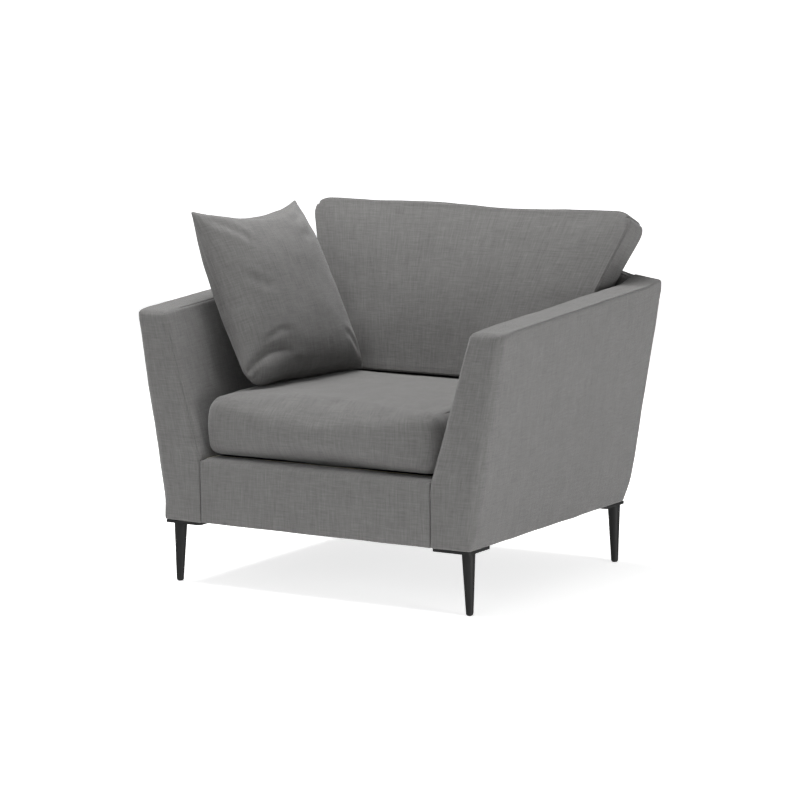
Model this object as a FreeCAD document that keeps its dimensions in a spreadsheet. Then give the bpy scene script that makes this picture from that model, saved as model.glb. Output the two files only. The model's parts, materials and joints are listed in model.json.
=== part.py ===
import FreeCAD, Part
import os
import re
import Sketcher

# Upholstered armchair with splayed arms, a loose seat cushion, a loose raked back
# cushion, a scatter cushion and four screw-on metal legs.
# Millimetres. +Z is up, the sitter faces -Y, the sitter's left is +X.
# The origin is on the floor under the middle of the chair.

SIZES = [
    ("leg_height", 150, "floor to the underside of the body"),
    ("body_depth_half", 398, "middle to the front face and to the rear face"),
    ("foot_half", 411, "middle to the outer face of an arm at its bottom edge"),
    ("splay_out", 0.1605, "outward lean of an arm's outer face per mm of height"),
    ("seat_half", 308.4, "middle to the inner face of an arm at seat height"),
    ("splay_in", 0.2877, "outward lean of an arm's inner face per mm above the rail"),
    ("rail_top", 302.5, "top of the upholstered front rail"),
    ("arm_front_top", 640, "height of an arm at the front"),
    ("arm_rise", 0.0617, "rise of an arm per mm towards the rear"),
    ("crown_top", 735, "height of the back in the middle"),
    ("crown_radius", 2910, "radius of the back's crowned top edge"),
    ("back_low_front", 210.3, "front face of the fixed back at rail height, along Y"),
    ("back_rake", 0.378, "rearward lean of the fixed back's face per mm of height"),
    ("panel_inset", 8, "arm's outer face to the edge of the outside back"),
    ("edge_round", 12, "radius of the sewn edges"),
    ("cloth", 2, "thickness of the fabric covers with their wadding"),
    ("foam", 20, "thickness of the foam on the carcass"),
    ("board", 25, "thickness of the carcass timber"),
    ("rear_board", 22, "thickness of the rear rail"),
    ("rear_joint", 360, "middle to the rear face of the rear corner blocks"),
    ("rail_foot", 190, "underside of the seat rails, on the corner blocks"),
    ("rail_head", 288, "top of the seat rails"),
    ("frame_half", 355, "middle to the outside of the side rails"),
    ("frame_front", 374, "middle to the front of the front rail"),
    ("frame_rear", 372, "middle to the rear of the rear rail"),
    ("post_deep", 50, "depth of an arm post along Y"),
    ("post_knee", 345, "height where an arm post starts to lean outwards"),
    ("post_head_out", 455, "outside of an arm post at its top"),
    ("post_head", 597, "top of an arm front post"),
    ("arm_rail_out", 460, "outside of an arm's top rail"),
    ("arm_rail_wide", 24, "width of an arm's top rail"),
    ("arm_rail_thick", 20, "thickness of an arm's top rail"),
    ("arm_rail_lift", 3.2, "rise of an arm's top rail over the posts' highest corner"),
    ("arm_rail_rear", 350, "middle to the rear end of an arm's top rail"),
    ("back_post_in", 250, "middle to the inside of a back post"),
    ("back_post_wide", 50, "width of a back post"),
    ("back_post_top", 640, "top of a back post"),
    ("back_rail_half", 390, "half length of the back's top rail"),
    ("back_rail_front", 375, "middle to the front of the back's top rail"),
    ("back_rail_rear", 394, "middle to the rear of the back's posts and top rail"),
    ("back_rail_top", 689, "top of the back's top rail"),
    ("slot_rail_front", 241, "front of the back's lower rail"),
    ("slot_rail_rear", 263, "rear of the back's lower rail"),
    ("slot_rail_low", 296, "underside of the back's lower rail"),
    ("slot_rail_top", 330, "top of the back's lower rail"),
    ("wire", 3.5, "diameter of the seat spring wire"),
    ("wire_height", 291, "height of the seat spring wire's centre"),
    ("wire_bend", 18.175, "radius of a bend in the seat spring"),
    ("wire_arm", 12, "half length of a straight run across the seat spring"),
    ("wire_start", 8, "front of the frame to the first run of a seat spring"),
    ("web_width", 50, "width of an elastic back web"),
    ("web_thick", 2, "thickness of a back web"),
    ("web_low", 297, "lower end of a back web"),
    ("web_high", 682, "upper end of a back web"),
    ("web_depth", 18.2, "face of the fixed back to its webs, along Y"),
    ("felt_low", 294.2, "underside of the spring insulator"),
    ("felt", 2, "thickness of the spring insulator"),
    ("deck_foam", 4, "thickness of the deck pad"),
    ("platform", 1, "thickness of the platform cloth"),
    ("layer_gap", 0.2, "gap between layers laid on each other"),
    ("deck_side", 2, "gap between the deck layers and an arm"),
    ("deck_end", 3, "gap between the deck layers and the frame or back"),
    ("hem_front", 328, "middle to the front hem of the platform cloth"),
    ("flap_rear", 330, "middle to the rear hem of the front rail's fabric"),
    ("back_foam", 15, "thickness of the foam on the fixed back"),
    ("slit_in", 290, "middle to the inner end of the slit in an arm"),
    ("slit_out", 357, "middle to the outer end of the slit in an arm"),
    ("dust_margin", 12, "body edge to the edge of the dust cover"),
    ("dust_thick", 1, "thickness of the dust cover"),
    ("notch_gap", 3, "gap between the dust cover and a leg plate"),
    ("seat_front", 378, "middle to the front of the seat cushion"),
    ("seat_rear", 206, "middle to the rear of the seat cushion"),
    ("seat_low", 306, "underside of the seat cushion"),
    ("seat_high", 450, "top of the seat cushion"),
    ("seat_wide", 306.5, "half width of the seat cushion"),
    ("seat_round_top", 42, "radius of the seat cushion's upper front edge"),
    ("seat_round_low", 24, "radius of the seat cushion's lower front edge"),
    ("seat_zip_low", 374, "lower edge of the seat cushion's zip"),
    ("rest_low", 451, "underside of the back cushion"),
    ("rest_front_low", 171, "front of the back cushion at its underside"),
    ("rest_rear_low", 265.4, "rear of the back cushion at its underside"),
    ("rest_front_high", 326.5, "front of the back cushion at its top"),
    ("rest_front_top", 862, "height of the back cushion's front edge"),
    ("rest_rear_high", 404, "rear of the back cushion at its top"),
    ("rest_rear_top", 829, "height of the back cushion's rear edge"),
    ("rest_half_low", 306, "half width of the back cushion at its underside"),
    ("rest_half_high", 454, "half width of the back cushion at its front edge"),
    ("rest_heel", 60, "height of the cut-off lower rear edge of the back cushion"),
    ("rest_reach", 480, "half width of the blank that the back cushion is cut from"),
    ("scatter_wide", 450, "scatter cushion from seam to seam, front to rear"),
    ("scatter_tall", 444, "scatter cushion from seam to seam, upwards"),
    ("scatter_thick", 124, "thickness of the scatter cushion in the middle"),
    ("scatter_lean", 23.9, "lean of the scatter cushion against the arm, degrees"),
    ("scatter_foot", 220, "middle of the chair to the foot of the scatter cushion"),
    ("scatter_rear", 160, "rear edge of the scatter cushion, along Y"),
    ("scatter_low", 461, "height of the scatter cushion's lower seam"),
    ("scatter_slope", 40, "seam to the shoulder of the scatter cushion"),
    ("scatter_rim", 105, "seam to the flat middle of the scatter cushion"),
    ("skin", 2, "thickness of a cushion cover"),
    ("plate", 6, "thickness of a leg plate"),
    ("plate_side", 98, "side of a leg plate"),
    ("plate_inset", 2, "body edge to the outer edge of a leg plate"),
    ("plate_rear", 376, "middle to the rear edge of a rear leg plate"),
    ("plate_round", 8, "corner radius of a leg plate"),
    ("leg_across", 390.7, "middle to a leg's axis at its foot, across the chair"),
    ("leg_front", 362.3, "middle to a front leg's axis"),
    ("leg_rear", 359.5, "middle to a rear leg's axis"),
    ("leg_lean", 3.5, "outward drift of a leg's axis from top to foot"),
    ("leg_top_radius", 15.5, "radius of a leg under its plate"),
    ("leg_foot_radius", 8.8, "radius of a leg above its glide"),
    ("leg_wall", 1.6, "wall of the leg tube"),
    ("glide", 9, "visible height of a glide"),
    ("glide_stem", 14, "length of a glide inside its leg"),
    ("glide_round", 6, "radius of a glide's lower edge"),
]

doc = FreeCAD.newDocument("armchair")
sheet = doc.addObject("Spreadsheet::Sheet", "Sizes")
for row, (alias, value, note) in enumerate(SIZES, start=1):
    sheet.set(f"A{row}", note)
    sheet.set(f"B{row}", str(value))
    sheet.setAlias(f"B{row}", alias)
doc.recompute()

ALIASES = {alias for alias, value, note in SIZES}
SIDES = (("left", 1), ("right", -1))
nodes = []


def bound(text):
    """The expression with each size's alias spelt as a cell of the sheet."""
    return re.sub(
        r"[A-Za-z_]+", lambda word: f"Sizes.{word[0]}" if word[0] in ALIASES else word[0], str(text)
    )


def number(text):
    """The value of an expression on the sheet."""
    return float(sheet.evalExpression(bound(text)))


def keep(part, label):
    """Names a finished sub-part, whose label is also its file's name."""
    part.Label = label
    nodes.append(part)
    return part


def origin_plane(body, name):
    for feature in body.Origin.OriginFeatures:
        if feature.Role == name + "_Plane":
            return feature


def attach(body, plane, level):
    """An empty sketch on one of the body's own planes, moved along the plane's normal."""
    sketch = body.newObject("Sketcher::SketchObject", body.Name + "_sketch")
    sketch.AttachmentSupport = [(origin_plane(body, plane), "")]
    sketch.MapMode = "FlatFace"
    sketch.setExpression("AttachmentOffset.Base.z", bound(level))
    return sketch


def draw_polygon(sketch, corners):
    """A closed outline whose corners are pairs of expressions on the sheet."""
    points = [FreeCAD.Vector(number(across), number(along), 0) for across, along in corners]
    for index, point in enumerate(points):
        sketch.addGeometry(Part.LineSegment(point, points[(index + 1) % len(points)]))
    for index in range(len(points)):
        after = (index + 1) % len(points)
        sketch.addConstraint(Sketcher.Constraint("Coincident", index, 2, after, 1))
    for index, (across, along) in enumerate(corners):
        for kind, text in (("DistanceX", across), ("DistanceY", along)):
            rule = Sketcher.Constraint(kind, -1, 1, index, 1, number(text))
            place = sketch.addConstraint(rule)
            sketch.setExpression(f"Constraints[{place}]", bound(text))


def draw_circle(sketch, across, along, radius):
    """A circle with its centre and radius given by expressions on the sheet."""
    centre = FreeCAD.Vector(number(across), number(along), 0)
    edge = sketch.addGeometry(Part.Circle(centre, FreeCAD.Vector(0, 0, 1), number(radius)))
    rules = (
        (Sketcher.Constraint("DistanceX", -1, 1, edge, 3, centre.x), across),
        (Sketcher.Constraint("DistanceY", -1, 1, edge, 3, centre.y), along),
        (Sketcher.Constraint("Radius", edge, number(radius)), radius),
    )
    for rule, text in rules:
        place = sketch.addConstraint(rule)
        sketch.setExpression(f"Constraints[{place}]", bound(text))


def level_of(plane, low, high):
    """Where a sketch lies so that its pad fills low..high; the XZ plane faces -Y."""
    return f"-({high})" if plane == "XZ" else low


def padded(name, plane, corners, low, high):
    """A body with one polygon extruded from low to high along the axis across its plane."""
    body = doc.addObject("PartDesign::Body", name)
    sketch = attach(body, plane, level_of(plane, low, high))
    draw_polygon(sketch, corners)
    pad = body.newObject("PartDesign::Pad", name + "_pad")
    pad.Profile = sketch
    pad.setExpression("Length", bound(f"({high}) - ({low})"))
    doc.recompute([sketch, pad, body])
    return body


def cut_away(body, plane, corners, low, high):
    """Cuts a polygon from low to high out of a body and makes sure that it took material."""
    before = body.Shape.Volume
    sketch = attach(body, plane, level_of(plane, low, high))
    draw_polygon(sketch, corners)
    pocket = body.newObject("PartDesign::Pocket", body.Name + "_pocket")
    pocket.Profile = sketch
    pocket.Reversed = True
    pocket.setExpression("Length", bound(f"({high}) - ({low})"))
    doc.recompute([sketch, pocket, body])
    if body.Shape.Volume >= before - 1:
        raise RuntimeError(body.Name + ": the pocket took no material")
    return body


def rounded(body, radius, wanted):
    """Fillets the edges of a body whose middle point passes the test."""
    feature = body.Tip
    names = [
        f"Edge{index}"
        for index, edge in enumerate(feature.Shape.Edges, start=1)
        if wanted(edge.CenterOfMass, edge)
    ]
    fillet = body.newObject("PartDesign::Fillet", body.Name + "_fillet")
    fillet.Base = (feature, names)
    fillet.setExpression("Radius", bound(radius))
    doc.recompute([fillet, body])
    return body


def joined(kind, name, base, tool):
    """A boolean of two objects of the document."""
    result = doc.addObject("Part::" + kind, name)
    result.Base = base
    result.Tool = tool
    doc.recompute([result])
    return result


def box(name, low, high):
    """A box between two corners given by expressions."""
    block = doc.addObject("Part::Box", name)
    for side, start, end in zip(("Length", "Width", "Height"), low, high):
        block.setExpression(side, bound(f"({end}) - ({start})"))
    for axis, start in zip("xyz", low):
        block.setExpression("Placement.Base." + axis, bound(start))
    doc.recompute([block])
    return block


def rod(name, radius, length, place, direction):
    """A cylinder from a point given by expressions, along a direction."""
    bar = doc.addObject("Part::Cylinder", name)
    bar.Placement = FreeCAD.Placement(
        FreeCAD.Vector(), FreeCAD.Rotation(FreeCAD.Vector(0, 0, 1), FreeCAD.Vector(*direction))
    )
    bar.setExpression("Radius", bound(radius))
    bar.setExpression("Height", bound(length))
    for axis, start in zip("xyz", place):
        bar.setExpression("Placement.Base." + axis, bound(start))
    doc.recompute([bar])
    return bar


def group(name, parts):
    """Several equal pieces kept together as separate solids."""
    bundle = doc.addObject("Part::Compound", name)
    bundle.Links = parts
    doc.recompute([bundle])
    return bundle


# ---------------------------------------------------------------- carcass timber

def make_seat_rails():
    front = box("front_board", ("-frame_half", "-frame_front", "rail_foot"),
                ("frame_half", "board - frame_front", "rail_head"))
    keep(front, "front_rail")
    rear = box("rear_board", ("-frame_half", "frame_rear - rear_board", "rail_foot"),
               ("frame_half", "frame_rear", "rail_head"))
    keep(rear, "rear_rail")
    for side, sign in SIDES:
        inner = "frame_half - board" if sign > 0 else "-frame_half"
        outer = "frame_half" if sign > 0 else "board - frame_half"
        rail = box("side_board_" + side, (inner, "board - frame_front", "rail_foot"),
                   (outer, "frame_rear - rear_board", "rail_head"))
        keep(rail, "side_rail_" + side)


BLOCK_HALF = 41
BLOCK_MIDDLE = 347
FRONT_BLOCK = ("-frame_front", "74 - frame_front")
REAR_BLOCK = ("rear_joint - 92", "rear_joint")
SCREW_RADIUS = 2.5
SCREW_LENGTH = 30
SCREW_HEAD_RADIUS = 4.5
SCREW_HEAD = 2.5
FRONT_SCREWS = ((328, -366), (362, -366), (328, -312), (362, -312))
REAR_SCREWS = ((328, 344), (362, 344), (328, 290), (362, 290))


def make_corner_blocks_and_screws():
    """Four glued blocks that the legs hang from, bored for sixteen pan-head screws."""
    shanks = []
    screws = []
    for side, sign in SIDES:
        for across, along in FRONT_SCREWS + REAR_SCREWS:
            spot = (str(sign * across), str(along), "leg_height - plate")
            tag = f"{side}_{across}_{along}".replace("-", "m")
            shank = rod("shank_" + tag, SCREW_RADIUS, f"plate + {SCREW_LENGTH}", spot, (0, 0, 1))
            head_spot = spot[:2] + (f"leg_height - plate - {SCREW_HEAD}",)
            head = rod("head_" + tag, SCREW_HEAD_RADIUS, SCREW_HEAD, head_spot, (0, 0, 1))
            screws.append(joined("Fuse", "screw_" + tag, shank, head))
            shanks.append(shank)
    bores = group("screw_bores", shanks)
    blocks = []
    for side, sign in SIDES:
        middle = sign * BLOCK_MIDDLE
        for end, (low, high) in (("front", FRONT_BLOCK), ("rear", REAR_BLOCK)):
            blocks.append(box(f"block_{end}_{side}", (str(middle - BLOCK_HALF), low, "leg_height"),
                              (str(middle + BLOCK_HALF), high, "rail_foot")))
    keep(joined("Cut", "bored_blocks", group("plain_blocks", blocks), bores), "corner_blocks")
    keep(group("screw_group", screws), "leg_screws")
    return bores


def make_arm_frames():
    """Two posts that lap the side rail and lean outwards, under a sloping top rail."""
    for side, sign in SIDES:
        outline = [
            ("frame_half", "rail_foot"),
            ("frame_half + board", "rail_foot"),
            ("frame_half + board", "post_knee"),
            ("post_head_out", "TOP"),
            ("post_head_out - board", "TOP"),
            ("frame_half", "post_knee"),
        ]
        for end, low in (("front", "-frame_front"), ("rear", "slot_rail_front")):
            high = f"{low} + post_deep"
            top = f"post_head + arm_rise * (frame_front + ({low}))"
            corners = [(f"{sign} * ({across})", along.replace("TOP", top)) for across, along in outline]
            post = padded(f"arm_post_{end}_{side}", "XZ", corners, low, high)
            keep(post, f"arm_{end}_post_{side}")
        under = "post_head + arm_rise * (YY + frame_front)"
        corners = []
        start, end = "-frame_front", "arm_rail_rear"
        for along, lift in ((start, "0"), (end, "0"), (end, "arm_rail_thick"), (start, "arm_rail_thick")):
            corners.append((along, f"{under.replace('YY', along)} + {lift} + arm_rail_lift"))
        edges = ["arm_rail_out - arm_rail_wide", "arm_rail_out"]
        if sign < 0:
            edges = ["-arm_rail_out", "arm_rail_wide - arm_rail_out"]
        keep(padded("arm_top_" + side, "YZ", corners, *edges), "arm_top_rail_" + side)


def make_back_frame():
    """Two posts lapped on the rear rail, a top rail and a lower rail for the webs."""
    for side, sign in SIDES:
        low = "back_post_in" if sign > 0 else "-back_post_in - back_post_wide"
        post = box("back_board_" + side, (low, "frame_rear", "rail_foot + 2"),
                   (f"{low} + back_post_wide", "back_rail_rear", "back_post_top"))
        keep(post, "back_post_" + side)
    top_rail = box("top_board", ("-back_rail_half", "back_rail_front", "back_post_top"),
                   ("back_rail_half", "back_rail_rear", "back_rail_top"))
    keep(top_rail, "back_top_rail")
    low_rail = box("low_board", ("-frame_half", "slot_rail_front", "slot_rail_low"),
                   ("frame_half", "slot_rail_rear", "slot_rail_top"))
    keep(low_rail, "back_bottom_rail")


# ---------------------------------------------------------------- suspension

SPRING_PLACES = (-220, -110, 0, 110, 220)
SPRING_BENDS = 20
CLIP_LONG = 20
WEB_PLACES = (-210, -70, 70, 210)


def make_spring(middle):
    """One flat zigzag spring: straight runs across the seat joined by half-circle bends."""
    half = number("wire_arm")
    bend = number("wire_bend")
    height = number("wire_height")
    start = number("wire_start - frame_front")
    edges = []
    for turn in range(SPRING_BENDS + 1):
        side = 1 if turn % 2 else -1
        along = start + 2 * bend * turn
        left = FreeCAD.Vector(middle - side * half, along, height)
        right = FreeCAD.Vector(middle + side * half, along, height)
        edges.append(Part.makeLine(left, right))
        if turn < SPRING_BENDS:
            outside = FreeCAD.Vector(right.x + side * bend, along + bend, height)
            after = FreeCAD.Vector(right.x, along + 2 * bend, height)
            edges.append(Part.Arc(right, outside, after).toShape())
    path = Part.Wire(edges)
    first = edges[0].Vertexes[0].Point
    section = Part.Wire(Part.makeCircle(number("wire") / 2, first, FreeCAD.Vector(1, 0, 0)))
    return path.makePipeShell([section], True, False)


def make_suspension():
    springs = doc.addObject("Part::Feature", "springs")
    springs.Shape = Part.makeCompound([make_spring(middle) for middle in SPRING_PLACES])
    keep(springs, "seat_springs")
    clips = []
    first_bar = "wire_start - frame_front"
    last_bar = f"{first_bar} + 2 * wire_bend * {SPRING_BENDS}"
    for index, middle in enumerate(SPRING_PLACES):
        for end, along in (("front", first_bar), ("rear", last_bar)):
            tag = f"{end}_{index}"
            start = (str(middle - CLIP_LONG / 2), along, "wire_height")
            tube = rod("clip_tube_" + tag, "wire_height - rail_head", CLIP_LONG, start, (1, 0, 0))
            bore = rod("clip_bore_" + tag, "wire / 2 + 0.05", CLIP_LONG, start, (1, 0, 0))
            clips.append(joined("Cut", "clip_" + tag, tube, bore))
    keep(group("clip_group", clips), "spring_clips")

    web_front = "back_low_front + back_rake * (HH - rail_top) + web_depth"
    corners = []
    outline = (("web_low", "0"), ("web_high", "0"), ("web_high", "web_thick"), ("web_low", "web_thick"))
    for height, depth in outline:
        corners.append((f"{web_front.replace('HH', height)} + {depth}", height))
    webs = []
    for index, middle in enumerate(WEB_PLACES):
        low = f"{middle} - web_width / 2"
        high = f"{middle} + web_width / 2"
        webs.append(padded(f"web_{index}", "YZ", corners, low, high))
    keep(group("web_group", webs), "back_webbing")


def make_deck():
    """The layers on the springs under the seat cushion."""
    wide = "seat_half - deck_side"
    front = "deck_end - frame_front"
    rear = "back_low_front - deck_end"
    felt_top = "felt_low + felt"
    pad_low = f"{felt_top} + layer_gap"
    cloth_low = f"{pad_low} + deck_foam + layer_gap"
    felt_layer = box("felt_layer", (f"-({wide})", front, "felt_low"), (wide, rear, felt_top))
    keep(felt_layer, "spring_insulator")
    pad_layer = box("pad_layer", (f"-({wide})", front, pad_low), (wide, rear, f"{pad_low} + deck_foam"))
    keep(pad_layer, "deck_pad")
    cloth_layer = box("cloth_layer", (f"-({wide})", "-hem_front", cloth_low),
                      (wide, rear, f"{cloth_low} + platform"))
    keep(cloth_layer, "deck_cloth")


# ---------------------------------------------------------------- fixed upholstery

# How far cutting shapes pass the forms that they cut.
RUN_OUT = 30
PAST_TOP = 40
PAST_ENDS = 420
PAST_SIDES = 600


def arm_form(name, sign, inset, open_below):
    """An arm's outer form, moved inwards by inset; a lining form runs out below and inwards."""
    out_low = f"foot_half - {inset}"
    bottom = "leg_height"
    inner_low = "seat_half"
    if open_below:
        bottom = f"leg_height - {RUN_OUT}"
        out_low = f"foot_half - {inset} - {RUN_OUT} * splay_out"
        inner_low = f"seat_half - {RUN_OUT}"
    ceiling = f"crown_top + {PAST_TOP}"
    corners = [
        (inner_low, bottom),
        (out_low, bottom),
        (f"foot_half - {inset} + splay_out * ({ceiling} - leg_height)", ceiling),
        (f"seat_half + {inset} + splay_in * ({ceiling} - rail_top)", ceiling),
        (f"seat_half + {inset}", "rail_top"),
    ]
    if open_below:
        corners.append((inner_low, "rail_top"))
    corners = [(f"{sign} * ({across})", height) for across, height in corners]
    low = f"{inset} - body_depth_half"
    high = f"body_depth_half - cloth - {inset}"
    form = padded(name, "XZ", corners, low, high)
    slope = f"arm_front_top - {inset} + arm_rise * (YY + body_depth_half)"
    top = [
        (str(-PAST_ENDS), slope.replace("YY", f"({-PAST_ENDS})")),
        (str(PAST_ENDS), slope.replace("YY", str(PAST_ENDS))),
        (str(PAST_ENDS), f"{ceiling} + {RUN_OUT}"),
        (str(-PAST_ENDS), f"{ceiling} + {RUN_OUT}"),
    ]
    return cut_away(form, "YZ", top, str(-PAST_SIDES), str(PAST_SIDES))


def at_outer_top(point, edge):
    """The two long sewn edges and the front edge of an arm's top."""
    return point.z > number("post_head") and edge.Length > 60 and point.y < number("back_rail_front")


def make_arms():
    """A cover and a foam lining for each arm, slit where the back's lower rail enters."""
    for side, sign in SIDES:
        low_x, high_x = ("slit_in", "slit_out") if sign > 0 else ("-slit_out", "-slit_in")
        outer = arm_form("arm_outer_" + side, sign, "0", False)
        rounded(outer, "edge_round", at_outer_top)
        lining = arm_form("arm_lining_" + side, sign, "cloth", True)
        rounded(lining, "edge_round - cloth", at_outer_top)
        slit = box("arm_slit_" + side, (low_x, "slot_rail_front", "slot_rail_low"),
                   (high_x, "slot_rail_rear", "slot_rail_top"))
        shell = joined("Cut", "arm_shell_" + side, outer, lining)
        keep(joined("Cut", "arm_skin_" + side, shell, slit), "arm_cover_" + side)

        wrap = arm_form("arm_wrap_" + side, sign, "cloth", False)
        rounded(wrap, "edge_round - cloth", at_outer_top)
        core = arm_form("arm_core_" + side, sign, "cloth + foam", True)
        padding = joined("Cut", "arm_padding_" + side, wrap, core)
        keep(joined("Cut", "arm_slit_padding_" + side, padding, slit), "arm_foam_" + side)


def back_form(name, inset, past_rear):
    """The fixed back between the arms, under its crowned top, moved inwards by inset."""
    ceiling = f"crown_top + {PAST_TOP}"
    slant = f"splay_in * ({ceiling} - rail_top)"
    foot = "rail_top + layer_gap"
    corners = [
        ("-seat_half", foot),
        ("seat_half", foot),
        (f"seat_half + {slant}", ceiling),
        (f"-seat_half - {slant}", ceiling),
    ]
    rear = f"body_depth_half - cloth + {past_rear}"
    form = padded(name, "XZ", corners, f"back_low_front - {RUN_OUT}", rear)
    face = f"back_low_front + {inset} * 1.07 + back_rake * (HH - rail_top)"
    below = f"rail_top - {RUN_OUT}"
    above = f"{ceiling} + {RUN_OUT}"
    ahead = f"back_low_front - 2 * {RUN_OUT}"
    front = [
        (ahead, below),
        (face.replace("HH", f"({below})"), below),
        (face.replace("HH", f"({above})"), above),
        (ahead, above),
    ]
    cut_away(form, "YZ", front, str(-PAST_SIDES), str(PAST_SIDES))
    return joined("Common", name + "_crowned", form, crown_drum(name, inset))


def crown_drum(name, inset):
    """The drum whose upper side gives the back its crowned top."""
    return rod(name + "_crown", f"crown_radius - {inset}", PAST_SIDES,
               ("0", str(PAST_ENDS), "crown_top - crown_radius"), (0, -1, 0))


def make_back():
    """The inside back with its foam, and the panel that closes the rear."""
    outer = back_form("back_outer", "0", "0")
    lining = back_form("back_lining", "cloth", RUN_OUT)
    keep(joined("Cut", "back_skin", outer, lining), "inside_back_cover")
    wrap = back_form("back_wrap", "cloth", "0")
    core = back_form("back_core", "(cloth + back_foam)", RUN_OUT)
    keep(joined("Cut", "back_padding", wrap, core), "back_foam")

    rear = "body_depth_half"
    ceiling = f"crown_top + {PAST_TOP}"
    low_half = "foot_half - panel_inset"
    high_half = f"{low_half} + splay_out * ({ceiling} - leg_height)"
    panel = padded("rear_panel", "XZ", [
        (f"-({low_half})", "leg_height"),
        (low_half, "leg_height"),
        (high_half, ceiling),
        (f"-({high_half})", ceiling),
    ], f"{rear} - cloth", rear)
    keep(joined("Common", "rear_crowned", panel, crown_drum("rear", "0")), "outside_back_cover")


def make_front_rail_cover():
    """Fabric over foam on the front rail, turned over its top edge."""
    wide = "seat_half - layer_gap"
    face = "-body_depth_half"
    cover = [
        (face, "leg_height"),
        (f"{face} + cloth", "leg_height"),
        (f"{face} + cloth", "rail_top - cloth"),
        ("-flap_rear", "rail_top - cloth"),
        ("-flap_rear", "rail_top"),
        (face, "rail_top"),
    ]
    skin = padded("rail_skin", "YZ", cover, f"-({wide})", wide)
    outside = number(face)
    inside = number(f"{face} + cloth")
    top = number("rail_top")
    small = "edge_round - cloth"
    rounded(skin, small, lambda point, edge: abs(point.y - inside) < 0.1 and point.z > top - 3)
    rounded(skin, "edge_round", lambda point, edge: point.y < outside + 0.1 and point.z > top - 0.5)
    keep(skin, "front_rail_cover")
    foam = [
        (f"{face} + cloth", "leg_height + 1"),
        ("-frame_front", "leg_height + 1"),
        ("-frame_front", "rail_top - cloth - layer_gap"),
        (f"{face} + cloth", "rail_top - cloth - layer_gap"),
    ]
    block = padded("rail_foam", "YZ", foam, f"-({wide})", wide)
    rounded(block, small, lambda point, edge: point.y < inside + 0.1 and point.z > top - 3)
    keep(block, "front_rail_foam")


def make_dust_cover():
    """Thin cloth stapled under the chair, notched round the four leg plates."""
    wide = "foot_half - dust_margin"
    notch = "foot_half - plate_inset - plate_side - notch_gap"
    front = "dust_margin - body_depth_half"
    front_notch = "plate_inset + plate_side + notch_gap - body_depth_half"
    rear = "body_depth_half - dust_margin"
    rear_notch = "plate_rear - plate_side - notch_gap"
    half = [
        (notch, front),
        (notch, front_notch),
        (wide, front_notch),
        (wide, rear_notch),
        (notch, rear_notch),
        (notch, rear),
    ]
    mirrored = [(f"-({across})", along) for across, along in reversed(half)]
    cloth = padded("dust_cloth", "XY", half + mirrored, "leg_height - dust_thick", "leg_height")
    keep(cloth, "dust_cover")


# ---------------------------------------------------------------- loose cushions

def seat_form(name, inset):
    corners = [
        (f"{inset} - seat_front", f"seat_low + {inset}"),
        (f"seat_rear - {inset}", f"seat_low + {inset}"),
        (f"seat_rear - {inset}", f"seat_high - {inset}"),
        (f"{inset} - seat_front", f"seat_high - {inset}"),
    ]
    form = padded(name, "YZ", corners, f"{inset} - seat_wide", f"seat_wide - {inset}")
    front = 8 - number("seat_front")
    middle = number("(seat_low + seat_high) / 2")
    rounded(form, f"seat_round_top - {inset}", lambda point, edge: point.y < front and point.z > middle + 60)
    rounded(form, f"seat_round_low - {inset}", lambda point, edge: point.y < front and point.z < middle - 60)
    return form


def rest_form(name, inset):
    """The back cushion: a raked slab that widens upwards, with its lower rear edge cut off."""
    corners = [
        (f"rest_front_low + 1.05 * {inset}", f"rest_low + {inset}"),
        (f"rest_rear_low - 38 - {inset}", f"rest_low + {inset}"),
        (f"rest_rear_low - 22 - {inset}", f"rest_low + 14"),
        (f"rest_rear_low - 1.05 * {inset} + back_rake * rest_heel", "rest_low + rest_heel"),
        (f"rest_rear_high - 1.3 * {inset}", f"rest_rear_top - 0.6 * {inset}"),
        (f"rest_front_high + 0.7 * {inset}", f"rest_front_top - 1.3 * {inset}"),
    ]
    form = padded(name, "YZ", corners, "-rest_reach", "rest_reach")
    side = f"{RUN_OUT} * (rest_half_high - rest_half_low) / (rest_front_top - rest_low)"
    below = f"rest_low - {RUN_OUT}"
    above = f"rest_front_top + {RUN_OUT}"
    for sign in (1, -1):
        outside = [
            (f"{sign} * (rest_half_low - {side} - {inset})", below),
            (f"{sign} * (rest_half_high + {side} - {inset})", above),
            (f"{sign} * (rest_reach + {RUN_OUT})", above),
            (f"{sign} * (rest_reach + {RUN_OUT})", below),
        ]
        cut_away(form, "XZ", outside, f"rest_front_low - {RUN_OUT}", f"rest_rear_high + {RUN_OUT}")
    return form


def scatter_form(name, inset):
    """A pillow that swells from a knife edge to its full thickness on both faces."""
    body = doc.addObject("PartDesign::Body", name)
    profiles = []
    rim = "scatter_rim"
    slope = "scatter_slope"
    for share, margin in ((-1, rim), (-0.55, slope), (0, "0"), (0.55, slope), (1, rim)):
        level = f"{share} * (scatter_thick / 2 - {inset})"
        sketch = attach(body, "YZ", level)
        step = f"{margin} + {inset} * 4"
        wide = f"scatter_wide / 2 - ({step})"
        draw_polygon(sketch, [
            (f"-({wide})", step),
            (wide, step),
            (wide, f"scatter_tall - ({step})"),
            (f"-({wide})", f"scatter_tall - ({step})"),
        ])
        profiles.append(sketch)
    loft = body.newObject("PartDesign::AdditiveLoft", name + "_loft")
    loft.Profile = profiles[0]
    loft.Sections = profiles[1:]
    loft.Ruled = True
    doc.recompute(profiles + [loft, body])
    return body


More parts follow.
